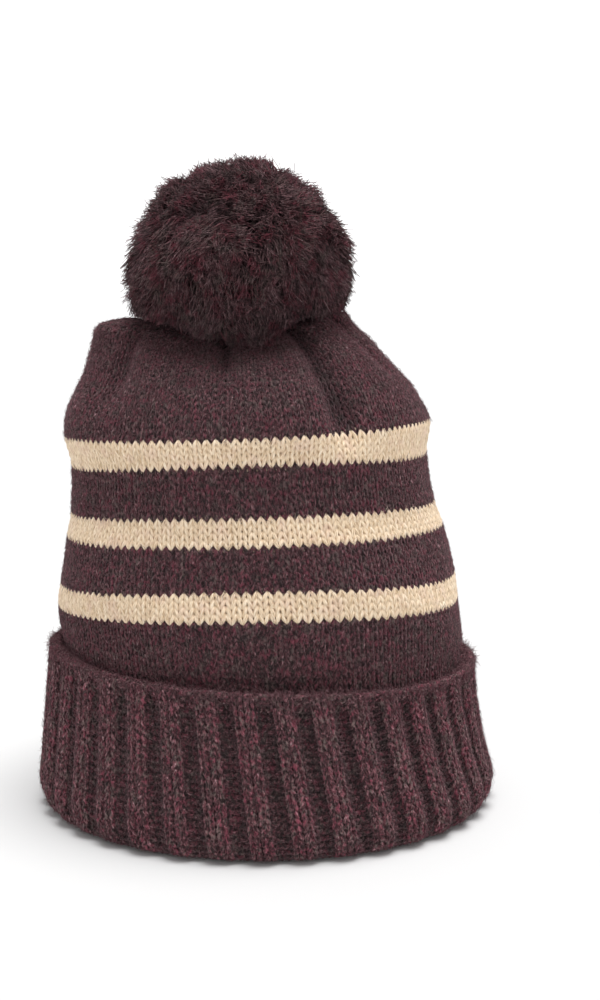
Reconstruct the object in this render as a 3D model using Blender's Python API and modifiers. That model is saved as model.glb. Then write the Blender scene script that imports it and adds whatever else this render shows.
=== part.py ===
"""Pom pom beanie: ribbed turned-up cuff, striped knitted crown and a tied yarn pom pom.

Metres, +Z up. The hat stands on the fold of its cuff, centred on the origin, front towards -Y.
"""
import math

import bmesh
import bpy
from mathutils import Vector

# ---- driving dimensions, in metres ----
CUFF_HALF_WIDTH = 0.100      # widest half-width of the hat, low on the cuff
DEPTH_RATIO = 0.88           # front-to-back size over side-to-side size
KNIT = 0.0030                # thickness of one layer of knit
GAP = 0.0003                 # gap between touching pieces
SEWING_YARN = 0.0010         # radius of the seam and gathering yarns
EDGE_YARN = 0.0015           # radius of the cast-on edge chain

CUFF_HEIGHT = 0.065          # from the floor to the cuff's rim
CUFF_RIM_TILT = -0.004       # the rim's rise at +X, so it drops to that side
RIM_HALF_WIDTH = 0.0930
FOLD_HEIGHT = 0.012          # height at which the fold's round bottom meets the wall
FOLD_LIP_HEIGHT = 0.0080     # where the inner layer leaves the fold
FLAT_OUTER = 0.0930          # the fold rests on the floor between these two half-widths
FLAT_INNER = 0.0870
RIBS = 38
RIB_DEPTH = 0.0008           # half of a rib's height over its channel

INNER_HALF_WIDTH = 0.0850    # outer face of the inner layer, behind the cuff
LEAN = -0.0110               # sideways lean of the crown's eye
LEAN_START = 0.060
TILT = 0.0024                # the stripes' rise at +X
EYE_RADIUS = 0.0080          # hole that the gathered crown leaves
EYE_HEIGHT = 0.2055
GATHERS = 9
GATHER_DEPTH = 0.0014

# Courses that shape the knitted tube, from the fold of the cuff up to the eye of the crown:
# half-width, height at the sides, half-depth, height at the front and back.
COURSES = [
    (INNER_HALF_WIDTH, 0.0083, 0.0745, 0.0083),
    (INNER_HALF_WIDTH, 0.0600, 0.0745, 0.0620),
    (0.0866, 0.0720, 0.0760, 0.0760),
    (0.0869, 0.0876, 0.0765, 0.0941),
    (0.0855, 0.0982, 0.0752, 0.1055),
    (0.0808, 0.1193, 0.0710, 0.1226),
    (0.0782, 0.1292, 0.0688, 0.1335),
    (0.0766, 0.1482, 0.0674, 0.1536),
    (0.0785, 0.1614, 0.0675, 0.1640),
    (0.0750, 0.1760, 0.0620, 0.1770),
    (0.0675, 0.1885, 0.0510, 0.1885),
    (0.0595, 0.2020, 0.0370, 0.1965),
    (0.0460, 0.2100, 0.0250, 0.2010),
    (0.0260, 0.2078, 0.0150, 0.2040),
    (EYE_RADIUS, EYE_HEIGHT, EYE_RADIUS, EYE_HEIGHT),
]
# Each band of the tube: name, first course, last course, rows of faces, yarn colour.
BANDS = [
    ("inner_rib", 0, 1, 1, "plum"),
    ("band_base", 1, 3, 3, "plum"),
    ("stripe_bottom", 3, 4, 1, "cream"),
    ("band_lower", 4, 5, 2, "plum"),
    ("stripe_middle", 5, 6, 1, "cream"),
    ("band_upper", 6, 7, 2, "plum"),
    ("stripe_top", 7, 8, 1, "cream"),
    ("crown", 8, 14, 9, "plum"),
]
CROWN_FIRST, EYE_COURSE = 8, 14
SEAM_LAST_COURSE = 11.6      # the seam's yarn is fastened off short of the eye

POM_RADIUS = 0.0480
POM_EQUATOR = 0.2310
POM_TOP = 0.2745
PIVOT_HEIGHT = 0.2045        # where the pom pom's tie passes the gathered crown
POM_UNDERSIDE = math.radians(24.5)
POM_UNDERSIDE_RISE = 0.0018  # clearance of the underside's cone over the pivot
TIE_RADIUS = 0.0024
TIE_CLEARANCE = 0.0004
LOOP_RADIUS = 0.0040
LOOP_YARN = 0.0009
GATHER_RING_RADIUS = 0.0065
KNOT_RADIUS = 0.0040
KNOT_DROP = 0.0085           # from the pivot down to the knot's centre
BINDING_RADIUS = 0.0060
BINDING_YARN = 0.0014
RECESS_RADIUS = 0.0082
RECESS_HALF_HEIGHT = 0.0018

TUBE_SEGMENTS = 48
CUFF_SEGMENTS = 2 * RIBS     # one for each ridge and each channel
RING_SEGMENTS, YARN_SEGMENTS = 24, 8
POM_STEPS = 32

YARN_COLOURS = {             # linear base colour and roughness
    "plum": ((0.068, 0.036, 0.039, 1.0), 0.92),
    "cream": ((0.700, 0.540, 0.385, 1.0), 0.88),
    "dark_plum": ((0.040, 0.021, 0.022, 1.0), 0.95),
}


def clear_scene():
    for obj in list(bpy.data.objects):
        bpy.data.objects.remove(obj, do_unlink=True)


def new_collection(name):
    collection = bpy.data.collections.new(name)
    bpy.context.scene.collection.children.link(collection)
    return collection


def yarn_material(name, colour):
    base, roughness = YARN_COLOURS[colour]
    material = bpy.data.materials.new(name + "_yarn")
    material.use_nodes = True
    shader = material.node_tree.nodes["Principled BSDF"]
    shader.inputs["Base Color"].default_value = base
    shader.inputs["Roughness"].default_value = roughness
    shader.inputs["Metallic"].default_value = 0.0
    material.diffuse_color = base
    return material


def finish_part(obj, colour, parts):
    """Name the data, give the part its yarn and put it with the other parts."""
    obj.data.name = obj.name
    obj.data.materials.clear()
    obj.data.materials.append(yarn_material(obj.name, colour))
    for collection in list(obj.users_collection):
        collection.objects.unlink(obj)
    parts.objects.link(obj)
    return obj


# ---- the knitted surface ----

def course(position):
    """Catmull-Rom reading of COURSES at a position counted in courses."""
    last = len(COURSES) - 1
    first = min(int(position), last - 1)
    t = position - first
    rows = [COURSES[min(max(first + step, 0), last)] for step in (-1, 0, 1, 2)]
    return [
        0.5 * (2 * b + (c - a) * t + (2 * a - 5 * b + 4 * c - d) * t ** 2 + (3 * b - a - 3 * c + d) * t ** 3)
        for a, b, c, d in zip(*rows)
    ]


def knit_point(theta, position):
    """A point of the tube's outer face."""
    half_width, side_height, half_depth, front_height = course(position)
    height = side_height + (front_height - side_height) * math.sin(theta) ** 2
    rise = max(0.0, (height - LEAN_START) / (EYE_HEIGHT - LEAN_START))
    gathered = max(0.0, position - CROWN_FIRST) * max(0.0, EYE_COURSE - position) / 9.0
    fold = GATHER_DEPTH * gathered * math.cos(GATHERS * theta)
    tilt = TILT * min(1.0, rise * 3.0) * half_width / INNER_HALF_WIDTH
    return Vector((
        LEAN * rise ** 0.85 + (half_width + fold) * math.cos(theta),
        (half_depth + fold) * math.sin(theta),
        height + tilt * math.cos(theta),
    ))


def inside_point(theta, position, depth):
    """A point that lies a depth inwards from the tube's outer face."""
    step = 0.01
    around = knit_point(theta + step, position) - knit_point(theta - step, position)
    upwards = knit_point(theta, position + step) - knit_point(theta, position - step)
    return knit_point(theta, position) - around.cross(upwards).normalized() * depth


def wrapped_grid(name, segments, rows, place):
    """A grid wrapped round the hat: place(angle, fraction along the rows) gives each point."""
    bm = bmesh.new()
    bmesh.ops.create_grid(bm, x_segments=segments, y_segments=rows, size=0.5)
    for vert in bm.verts:
        vert.co = place((vert.co.x + 0.5) * math.tau, vert.co.y + 0.5)
    bmesh.ops.remove_doubles(bm, verts=bm.verts, dist=0.00001)
    mesh = bpy.data.meshes.new(name)
    bm.to_mesh(mesh)
    bm.free()
    mesh.shade_smooth()
    mesh.set_sharp_from_angle(angle=math.radians(50))
    return bpy.data.objects.new(name, mesh)


def knit_band(name, first, last, rows):
    """One colour's stretch of the knitted tube: up its outer face and down its inner face."""
    height = (course(last)[1] - course(first)[1]) / (last - first)
    trim = GAP / max(height, 0.010)
    low = first + trim if first > 0 else first
    high = last - trim if last < EYE_COURSE else last

    def place(theta, along):
        step = round(along * (2 * rows + 2))
        if step <= rows:
            return knit_point(theta, low + (high - low) * step / rows)
        if step <= 2 * rows + 1:
            return inside_point(theta, low + (high - low) * (2 * rows + 1 - step) / rows, KNIT)
        return knit_point(theta, low)

    return wrapped_grid(name, TUBE_SEGMENTS, 2 * rows + 2, place)


# ---- the turned-up cuff ----

def cuff_section():
    """The cuff's outer line: up the lip, round the fold under the hat and up to the rim."""
    lip = INNER_HALF_WIDTH - KNIT
    inner = [(lip, FOLD_LIP_HEIGHT), (lip, 0.6 * FOLD_LIP_HEIGHT), (lip + 0.0014, 0.0016), (FLAT_INNER, 0.0)]
    outer = []
    for step in range(4):
        turn = math.radians(90 * step / 3)
        outer.append((
            FLAT_OUTER + (CUFF_HALF_WIDTH - FLAT_OUTER) * math.sin(turn),
            FOLD_HEIGHT * (1 - math.cos(turn)),
        ))
    wall = []
    for step in (1, 2):
        up = step / 2
        wall.append((
            CUFF_HALF_WIDTH + (RIM_HALF_WIDTH - CUFF_HALF_WIDTH) * up ** 0.85,
            FOLD_HEIGHT + (CUFF_HEIGHT - FOLD_HEIGHT) * up,
        ))
    return inner + outer + wall


def cuff_outer_rib(parts):
    section = cuff_section()

    def place(theta, up):
        half_width, height = section[round(up * (len(section) - 1))]
        ribbed = min(1.0, height / FOLD_HEIGHT) if half_width > FLAT_OUTER - GAP else 0.0
        rib = RIB_DEPTH * ribbed * (math.cos(RIBS * theta) - 1.0)
        tilt = CUFF_RIM_TILT * (height / CUFF_HEIGHT) ** 2
        return Vector((
            (half_width + rib) * math.cos(theta),
            (half_width * DEPTH_RATIO + rib) * math.sin(theta),
            height + tilt * math.cos(theta),
        ))

    obj = wrapped_grid("cuff_outer_rib", CUFF_SEGMENTS, len(section) - 1, place)
    wall = obj.modifiers.new("knit_thickness", "SOLIDIFY")
    wall.thickness = KNIT
    wall.offset = -1.0
    wall.use_even_offset = True
    return finish_part(obj, "plum", parts)


def yarn_tube(name, points, radius, closed=False):
    """A round yarn along the points."""
    curve = bpy.data.curves.new(name, "CURVE")
    curve.dimensions = "3D"
    curve.bevel_depth = radius
    curve.bevel_resolution = 2
    curve.use_fill_caps = not closed
    spline = curve.splines.new("POLY")
    spline.points.add(len(points) - 1)
    for point, place in zip(spline.points, points):
        point.co = (*place, 1.0)
    spline.use_cyclic_u = closed
    return bpy.data.objects.new(name, curve)


def cast_on_edge(parts):
    """The chain of cast-on stitches that ends the turned-up cuff, lying on its rim."""
    middle = RIM_HALF_WIDTH - RIB_DEPTH - KNIT / 2
    count = 40
    points = []
    for step in range(count):
        theta = math.tau * step / count
        points.append(Vector((
            middle * math.cos(theta),
            (RIM_HALF_WIDTH * DEPTH_RATIO - RIB_DEPTH - KNIT / 2) * math.sin(theta),
            CUFF_HEIGHT + CUFF_RIM_TILT * math.cos(theta) + GAP + EDGE_YARN,
        )))
    return finish_part(yarn_tube("cast_on_edge", points, EDGE_YARN, closed=True), "plum", parts)


# ---- yarns that hold the knit together ----

def back_seam_yarn(parts):
    """Sewing yarn of the centre-back seam, along the inside of the tube."""
    depth = KNIT + SEWING_YARN + 2 * GAP
    count = 30
    points = [
        inside_point(math.pi / 2, 0.1 + (SEAM_LAST_COURSE - 0.1) * step / (count - 1), depth)
        for step in range(count)
    ]
    return finish_part(yarn_tube("back_seam_yarn", points, SEWING_YARN), "plum", parts)


def yarn_ring(name, radius, yarn, height, colour, parts):
    """A level loop of yarn round the pom pom's tie."""
    bpy.ops.mesh.primitive_torus_add(
        major_radius=radius, minor_radius=yarn,
        major_segments=RING_SEGMENTS, minor_segments=YARN_SEGMENTS,
        location=(LEAN, 0.0, height),
    )
    obj = bpy.context.object
    obj.name = name
    obj.data.shade_smooth()
    return finish_part(obj, colour, parts)


# ---- the pom pom ----

def turned(name, profile, closed, parts):
    """A profile of (radius, height) points turned about the pom pom's upright axis."""
    mesh = bpy.data.meshes.new(name)
    bm = bmesh.new()
    verts = [bm.verts.new((radius, 0.0, height - PIVOT_HEIGHT)) for radius, height in profile]
    loop = verts + verts[:1] if closed else verts
    for start, end in zip(loop, loop[1:]):
        bm.edges.new((start, end))
    bm.to_mesh(mesh)
    bm.free()
    obj = bpy.data.objects.new(name, mesh)
    obj.location = (LEAN, 0.0, PIVOT_HEIGHT)
    screw = obj.modifiers.new("turn", "SCREW")
    screw.steps = POM_STEPS
    screw.render_steps = POM_STEPS
    screw.use_merge_vertices = True
    screw.merge_threshold = 0.00001
    return finish_part(obj, "dark_plum", parts)


def pom_pile_upper(parts):
    """Cut yarn ends of the upper half, a dome."""
    base = POM_EQUATOR + GAP / 2
    dome = []
    for step in range(10):
        turn = math.radians(90 * step / 9)
        dome.append((POM_RADIUS * math.sin(turn), base + (POM_TOP - base) * math.cos(turn)))
    dome[0] = (0.0, POM_TOP)
    recess = [
        (RECESS_RADIUS, base), (RECESS_RADIUS, POM_EQUATOR + RECESS_HALF_HEIGHT),
        (0.0, POM_EQUATOR + RECESS_HALF_HEIGHT),
    ]
    return turned("pom_pile_upper", dome + recess, False, parts)


def pom_pile_lower(parts):
    """Cut yarn ends of the lower half, a shallow cone that leaves the pom pom room to nod."""
    top = POM_EQUATOR - GAP / 2
    hole = TIE_RADIUS + TIE_CLEARANCE

    def underside(radius):
        return PIVOT_HEIGHT + POM_UNDERSIDE_RISE + radius * math.tan(POM_UNDERSIDE)

    rim = POM_RADIUS - 0.0012
    profile = [
        (RECESS_RADIUS, top), (POM_RADIUS, top), (rim, underside(rim)), (0.024, underside(0.024)),
        (hole, underside(hole)), (hole, POM_EQUATOR - RECESS_HALF_HEIGHT),
        (RECESS_RADIUS, POM_EQUATOR - RECESS_HALF_HEIGHT),
    ]
    return turned("pom_pile_lower", profile, True, parts)


def pom_tie_neck(parts):
    """The tie's twisted yarns between the inner knot and the binding."""
    low = PIVOT_HEIGHT - KNOT_DROP + KNOT_RADIUS + GAP
    high = POM_EQUATOR - RECESS_HALF_HEIGHT
    bpy.ops.mesh.primitive_cylinder_add(
        vertices=16, radius=TIE_RADIUS, depth=high - low, location=(LEAN, 0.0, (high + low) / 2),
    )
    obj = bpy.context.object
    obj.name = "pom_tie_neck"
    obj.data.shade_smooth()
    return finish_part(obj, "dark_plum", parts)


def pom_inner_knot(parts):
    """The knot that fastens the tie inside the crown."""
    bpy.ops.mesh.primitive_uv_sphere_add(
        segments=16, ring_count=10, radius=KNOT_RADIUS, location=(LEAN, 0.0, PIVOT_HEIGHT - KNOT_DROP),
    )
    obj = bpy.context.object
    obj.name = "pom_inner_knot"
    obj.data.shade_smooth()
    return finish_part(obj, "dark_plum", parts)


def set_origin(obj, point):
    """Move a part's origin without moving its shape."""
    shift = Vector(point) - obj.location
    for vert in obj.data.vertices:
        vert.co -= shift
    obj.location = point


def build():
    clear_scene()
    parts = new_collection("pom_pom_beanie")
    cuff_outer_rib(parts)
    cast_on_edge(parts)
    for name, first, last, rows, colour in BANDS:
        finish_part(knit_band(name, first, last, rows), colour, parts)
    back_seam_yarn(parts)
    yarn_ring("crown_gather_yarn", GATHER_RING_RADIUS, SEWING_YARN, PIVOT_HEIGHT, "plum", parts)
    yarn_ring("pom_tie_loop", LOOP_RADIUS, LOOP_YARN, PIVOT_HEIGHT, "dark_plum", parts)
    pivot = (LEAN, 0.0, PIVOT_HEIGHT)
    set_origin(pom_tie_neck(parts), pivot)
    set_origin(pom_inner_knot(parts), pivot)
    yarn_ring("pom_binding_yarn", BINDING_RADIUS, BINDING_YARN, POM_EQUATOR, "dark_plum", parts)
    pom_pile_lower(parts)
    pom_pile_upper(parts)


build()
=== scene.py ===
"""Looks of the pom pom beanie: every yarn of the knit, the brushed pile, the studio and the camera."""

import math

import bpy
import numpy as np
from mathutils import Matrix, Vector


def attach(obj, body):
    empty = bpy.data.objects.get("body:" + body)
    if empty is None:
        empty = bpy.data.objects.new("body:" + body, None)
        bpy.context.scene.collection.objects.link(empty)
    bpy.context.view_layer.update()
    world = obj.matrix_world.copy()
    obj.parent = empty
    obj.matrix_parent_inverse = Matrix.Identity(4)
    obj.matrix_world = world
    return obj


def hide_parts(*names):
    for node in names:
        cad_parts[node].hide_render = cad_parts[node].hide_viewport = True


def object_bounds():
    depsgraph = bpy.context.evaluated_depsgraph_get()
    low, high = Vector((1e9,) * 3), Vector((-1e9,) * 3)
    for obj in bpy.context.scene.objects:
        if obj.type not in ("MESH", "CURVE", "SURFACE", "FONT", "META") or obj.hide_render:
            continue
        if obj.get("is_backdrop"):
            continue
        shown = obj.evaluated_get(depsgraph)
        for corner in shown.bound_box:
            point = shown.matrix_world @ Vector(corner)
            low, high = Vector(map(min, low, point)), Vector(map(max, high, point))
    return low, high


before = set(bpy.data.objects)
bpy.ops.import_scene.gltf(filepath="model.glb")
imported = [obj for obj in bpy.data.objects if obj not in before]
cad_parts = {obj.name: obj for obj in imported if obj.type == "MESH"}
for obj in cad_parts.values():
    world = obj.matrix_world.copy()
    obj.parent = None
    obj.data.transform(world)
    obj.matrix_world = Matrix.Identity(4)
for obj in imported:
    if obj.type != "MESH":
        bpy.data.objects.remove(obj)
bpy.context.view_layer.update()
RNG = np.random.default_rng(542)
TAU = math.tau

# ---- dimensions shared with the CAD model, in metres ----
KNIT = 0.0030
CUFF_HALF_WIDTH, RIM_HALF_WIDTH, FLAT_OUTER, FLAT_INNER = 0.100, 0.0930, 0.0930, 0.0870
INNER_HALF_WIDTH, DEPTH_RATIO = 0.0850, 0.88
CUFF_HEIGHT, CUFF_RIM_TILT, FOLD_HEIGHT, FOLD_LIP_HEIGHT = 0.065, -0.004, 0.012, 0.0080
LEAN, LEAN_START, TILT = -0.0110, 0.060, 0.0024
EYE_RADIUS, EYE_HEIGHT = 0.0080, 0.2055
CROWN_FIRST, EYE_COURSE = 8, 14
RIBS = 38
RIB_STITCHES, BODY_STITCHES = 152, 128
PIVOT = np.array([LEAN, 0.0, 0.2045])
POM_CENTRE = np.array([LEAN, 0.0, 0.2310])
# Rows that shape the knitted tube, from the foot of the inner rib to the eye of the crown: half-width,
# height at the sides, half-depth, height at the front and back.
COURSES = np.array([
    (INNER_HALF_WIDTH, 0.0083, 0.0745, 0.0083),
    (INNER_HALF_WIDTH, 0.0600, 0.0745, 0.0620),
    (0.0866, 0.0720, 0.0760, 0.0760),
    (0.0869, 0.0876, 0.0765, 0.0941),
    (0.0855, 0.0982, 0.0752, 0.1055),
    (0.0808, 0.1193, 0.0710, 0.1226),
    (0.0782, 0.1292, 0.0688, 0.1335),
    (0.0766, 0.1482, 0.0674, 0.1536),
    (0.0785, 0.1614, 0.0675, 0.1640),
    (0.0750, 0.1760, 0.0620, 0.1770),
    (0.0675, 0.1885, 0.0510, 0.1885),
    (0.0595, 0.2020, 0.0370, 0.1965),
    (0.0460, 0.2100, 0.0250, 0.2010),
    (0.0260, 0.2078, 0.0150, 0.2040),
    (EYE_RADIUS, EYE_HEIGHT, EYE_RADIUS, EYE_HEIGHT),
])


# ---- surfaces ----

def catmull_rom(table, position):
    """A smooth curve through the rows of a table, read at fractional row numbers."""
    last = len(table) - 1
    first = np.clip(np.floor(position).astype(int), 0, last - 1)
    t = (position - first)[..., None]
    a, b, c, d = (table[np.clip(first + step, 0, last)] for step in (-1, 0, 1, 2))
    return 0.5 * (2 * b + (c - a) * t + (2 * a - 5 * b + 4 * c - d) * t ** 2 + (3 * b - a - 3 * c + d) * t ** 3)


def bump_at(theta, centre, width):
    """A smooth bump round a turn, 1 at its centre."""
    turn = (theta - centre + math.pi) % TAU - math.pi
    return np.exp(-(turn / width) ** 2)


# Creases of the gathered crown, each running up to the eye: angle low down, angle at the eye, half-width
# in radians, depth, first row of COURSES.
CREASES = [
    (-1.65, -1.66, 0.055, 0.0055, 9.6),
    (-0.99, -1.04, 0.095, 0.0080, 7.2),
    (-2.44, -2.40, 0.110, 0.0046, 8.5),
    (-0.35, -0.45, 0.080, 0.0030, 9.2),
    (0.30, 0.20, 0.080, 0.0032, 9.0),
    (0.95, 0.90, 0.070, 0.0030, 8.8),
    (1.55, 1.60, 0.070, 0.0034, 8.6),
    (2.20, 2.20, 0.080, 0.0030, 9.0),
    (2.90, 2.85, 0.080, 0.0032, 9.0),
]
CREASE_DEEPENS, CREASE_FADES = 1.4, 2.0     # over this many rows at its start and at the eye
CREASE_AT_EYE = 0.35                        # share of its depth left at the eye

GATHERS, GATHER_DEPTH = 9, 0.0009
RIPPLE = 0.0005

# How far the gathered crown's left and right lobes stand out, by row of COURSES.
LOBE_COURSES = [8.0, 8.6, 9.3, 10.0, 10.65, 11.0, 11.4, 11.7, 12.0, 12.6]
LOBE_RIGHT = [0.0, -0.0026, -0.0042, -0.0049, -0.0072, -0.0092, -0.0086, -0.0062, -0.0030, 0.0]
LOBE_LEFT = [0.0, 0.0, -0.0015, -0.0005, 0.0018, 0.0040, 0.0082, 0.0090, 0.0055, 0.0]

# How much higher the knit runs at the hat's right side, by row of COURSES.
RAISED_COURSES = [5.5, 7.0, 8.2, 9.0, 10.5]
RAISED = [0, 0.0012, 0.0030, 0.0026, 0]


def crease_depth(theta, position):
    """How deep the crown's creases are."""
    total = 0.0
    for low, high, width, depth, first in CREASES:
        up = np.clip((position - first) / (EYE_COURSE - first), 0, 1)
        start = np.clip((position - first) / CREASE_DEEPENS, 0, 1)
        taper = np.clip((EYE_COURSE - position) / CREASE_FADES, 0, 1)
        strength = start * (CREASE_AT_EYE + (1 - CREASE_AT_EYE) * taper)
        total = total + depth * strength * bump_at(theta, low + (high - low) * up, width)
    return total


def crown_folds(theta, position):
    """How far the crown's surface stands out or in where it is gathered."""
    half_way = (EYE_COURSE - CROWN_FIRST) / 2
    gathered = np.maximum(0, position - CROWN_FIRST) * np.maximum(0, EYE_COURSE - position) / half_way ** 2
    right = np.interp(position, LOBE_COURSES, LOBE_RIGHT) * np.maximum(0, np.cos(theta)) ** 2
    left = np.interp(position, LOBE_COURSES, LOBE_LEFT) * np.maximum(0, -np.cos(theta)) ** 2
    return GATHER_DEPTH * gathered * np.cos(GATHERS * theta) - crease_depth(theta, position) + right + left


def ripples(theta, position):
    """Slight unevenness of the soft tube."""
    return RIPPLE * (np.sin(5 * theta + 1.7 * position) + np.sin(3 * theta - 1.1 * position + 2.0))


def body_surface(theta, position):
    """The knitted tube from the foot of the inner rib to the eye; position counts the rows of COURSES."""
    half_width, side_height, half_depth, front_height = np.moveaxis(catmull_rom(COURSES, position), -1, 0)
    height = side_height + (front_height - side_height) * np.sin(theta) ** 2
    rise = np.maximum(0, (height - LEAN_START) / (EYE_HEIGHT - LEAN_START))
    out = crown_folds(theta, position) + ripples(theta, position) * np.clip(position - 1.5, 0, 1)
    tilt = TILT * np.minimum(1, rise * 3) * half_width / INNER_HALF_WIDTH
    height = height + np.interp(position, RAISED_COURSES, RAISED) * np.clip(np.cos(theta), 0, 1) ** 1.5
    return np.stack([
        LEAN * rise ** 0.85 + (half_width + out) * np.cos(theta),
        (half_depth + out) * np.sin(theta),
        height + tilt * np.cos(theta),
    ], -1)


RIB_SHARPNESS = 1.7


def rib_wave(theta):
    """1 on a plump ridge of the 2 by 2 rib, 0 in a channel; the channels close up at the hat's two sides."""
    wave = np.cos(RIBS * theta)
    wide = 0.85 + 0.75 * np.cos(theta) ** 2
    squared = np.tanh(RIB_SHARPNESS * wave + wide) / np.tanh(RIB_SHARPNESS + wide)
    return np.sqrt(np.clip(0.5 + 0.5 * squared, 0, 1)) * (0.90 + 0.10 * wave)


def rib_height(theta, depth):
    """0 on a ridge and down to minus the depth in a channel."""
    return depth * (rib_wave(theta) - 1.0)


def smooth_section(points, steps=24):
    """A section's points as a smooth line, and how far along it each point lies, from 0 to 1."""
    points = np.array(points)
    line = catmull_rom(points, np.linspace(0, len(points) - 1, steps * (len(points) - 1) + 1))
    along = np.concatenate([[0], np.cumsum(np.linalg.norm(np.diff(line, axis=0), axis=1))])
    return line, along / along[-1]


def cuff_section():
    """Up the cuff from the fold's inner lip, under the fold, up the outer wall and over the rim."""
    lip = INNER_HALF_WIDTH - KNIT
    points = [(lip, FOLD_LIP_HEIGHT), (lip, 0.6 * FOLD_LIP_HEIGHT), (lip + 0.0014, 0.0016), (FLAT_INNER, 0.0)]
    for turn in np.radians((0, 30, 60, 90)):
        points.append((
            FLAT_OUTER + (CUFF_HALF_WIDTH - FLAT_OUTER) * math.sin(turn), FOLD_HEIGHT * (1 - math.cos(turn)),
        ))
    for up in (0.25, 0.5, 0.75, 1.0):
        points.append((
            CUFF_HALF_WIDTH + (RIM_HALF_WIDTH - CUFF_HALF_WIDTH) * up ** 0.85,
            FOLD_HEIGHT + (CUFF_HEIGHT - FOLD_HEIGHT) * up,
        ))
    points += [
        (RIM_HALF_WIDTH - 0.0018, CUFF_HEIGHT + 0.0014), (RIM_HALF_WIDTH - 0.0041, CUFF_HEIGHT + 0.0019),
        (RIM_HALF_WIDTH - 0.0062, CUFF_HEIGHT + 0.0013),
    ]
    return smooth_section(points)


CUFF_LINE, CUFF_ALONG = cuff_section()
CUFF_RIB_DEPTH = 0.0054
INNER_RIB_DEPTH = 0.0014
RIM_FADE_FROM, RIM_FADE = 0.925, 0.045      # the ribs flatten out before the rim, by share of the section
# How far the cuff's wall draws in towards the rim, by height.
HUG_HEIGHTS = [0.15, 0.45, 0.75, 1.0]
HUG = [0, 0.0020, 0.0028, 0.0022]
SECTION_END = 0.002                         # share of the section that sets the slope beyond its ends
RIB_SLANT, RIB_SLANT_SWING = 0.05, 0.065    # turn of the ribs from the rim to the fold, in radians
SAG = 0.0006


def on_cuff_line(along, axis):
    """A coordinate of the cuff's section, carried on straight beyond its two ends."""
    read = lambda place: np.interp(place, CUFF_ALONG, CUFF_LINE[:, axis])
    inside = np.clip(along, SECTION_END, 1 - SECTION_END)
    slope = (read(inside + SECTION_END) - read(inside - SECTION_END)) / (2 * SECTION_END)
    return read(inside) + (along - inside) * slope


def cuff_surface(theta, along):
    """The turned-up rib; along runs from 0 at the fold's inner lip to 1 at the rim."""
    half_width, height = on_cuff_line(along, 0), on_cuff_line(along, 1)
    near_rim = np.clip((RIM_FADE_FROM - along) / RIM_FADE, 0.08, 1)
    outside = np.clip((half_width - FLAT_INNER) / 0.006, 0, 1) * near_rim
    outside = outside * (0.80 + 0.20 * np.cos(theta) ** 2)
    rib = rib_height(theta, CUFF_RIB_DEPTH * outside * np.clip(0.25 + height / 0.010, 0, 1))
    turn = theta + (RIB_SLANT + RIB_SLANT_SWING * np.cos(theta + 0.8)) * (1 - height / CUFF_HEIGHT)
    hug = np.interp(height / CUFF_HEIGHT, HUG_HEIGHTS, HUG)
    half_width = half_width - hug * np.where(np.cos(turn) > 0, 1.0, -0.4) * np.abs(np.cos(turn))
    sag = SAG * np.sin(4 * turn + 1.0) * height / CUFF_HEIGHT
    tilt = CUFF_RIM_TILT * (height / CUFF_HEIGHT) ** 2
    return np.stack([
        (half_width + rib + sag) * np.cos(turn), (half_width * DEPTH_RATIO + rib + sag) * np.sin(turn),
        height + tilt * np.cos(turn) + sag,
    ], -1)


def inner_rib_surface(theta, position):
    """The foot of the tube with its shallow ribs, behind the cuff."""
    point = body_surface(theta, position)
    rib = rib_height(theta, INNER_RIB_DEPTH)
    point[..., 0] += rib * np.cos(theta)
    point[..., 1] += rib * np.sin(theta)
    return point


def with_normal(surface, theta, position, step):
    """Points of a surface and the normals of its outer face."""
    turn = 0.002
    around = surface(theta + turn, position) - surface(theta - turn, position)
    upwards = surface(theta, position + step) - surface(theta, position - step)
    normal = np.cross(around, upwards)
    return surface(theta, position), normal / np.linalg.norm(normal, axis=-1, keepdims=True)


# ---- meshes ----

CELL_MARGIN = 0.06          # empty share of a UV cell on each side
YARN_STARTS = 900           # the yarns' textures start anywhere in this many millimetres


def make_piece(name, points, quads, tris=None, layers=(), painted_shade=None):
    """A mesh object from arrays, with an optional per-point share of painted shade, from 0 to 1, highest where
    the point lies deep in the knit.
    """
    mesh = bpy.data.meshes.new(name)
    tris = np.zeros((0, 3), int) if tris is None else tris
    corners = np.concatenate([quads.ravel(), tris.ravel()]).astype(np.int32)
    starts = np.concatenate([np.arange(len(quads)) * 4, 4 * len(quads) + np.arange(len(tris)) * 3])
    starts = starts.astype(np.int32)
    mesh.vertices.add(len(points))
    mesh.vertices.foreach_set("co", np.ascontiguousarray(points, np.float32).ravel())
    mesh.loops.add(len(corners))
    mesh.loops.foreach_set("vertex_index", corners)
    mesh.polygons.add(len(starts))
    mesh.polygons.foreach_set("loop_start", starts)
    mesh.update(calc_edges=True)
    mesh.polygons.foreach_set("use_smooth", np.full(len(starts), True))
    if painted_shade is not None:
        attribute = mesh.attributes.new("painted_shade", "FLOAT", "POINT")
        attribute.data.foreach_set("value", np.ascontiguousarray(painted_shade, np.float32))
    for layer, values in layers:
        mesh.uv_layers.new(name=layer)
        mesh.uv_layers[layer].data.foreach_set("uv", np.ascontiguousarray(values, np.float32).ravel())
    obj = bpy.data.objects.new(name, mesh)
    bpy.context.scene.collection.objects.link(obj)
    return obj


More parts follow.
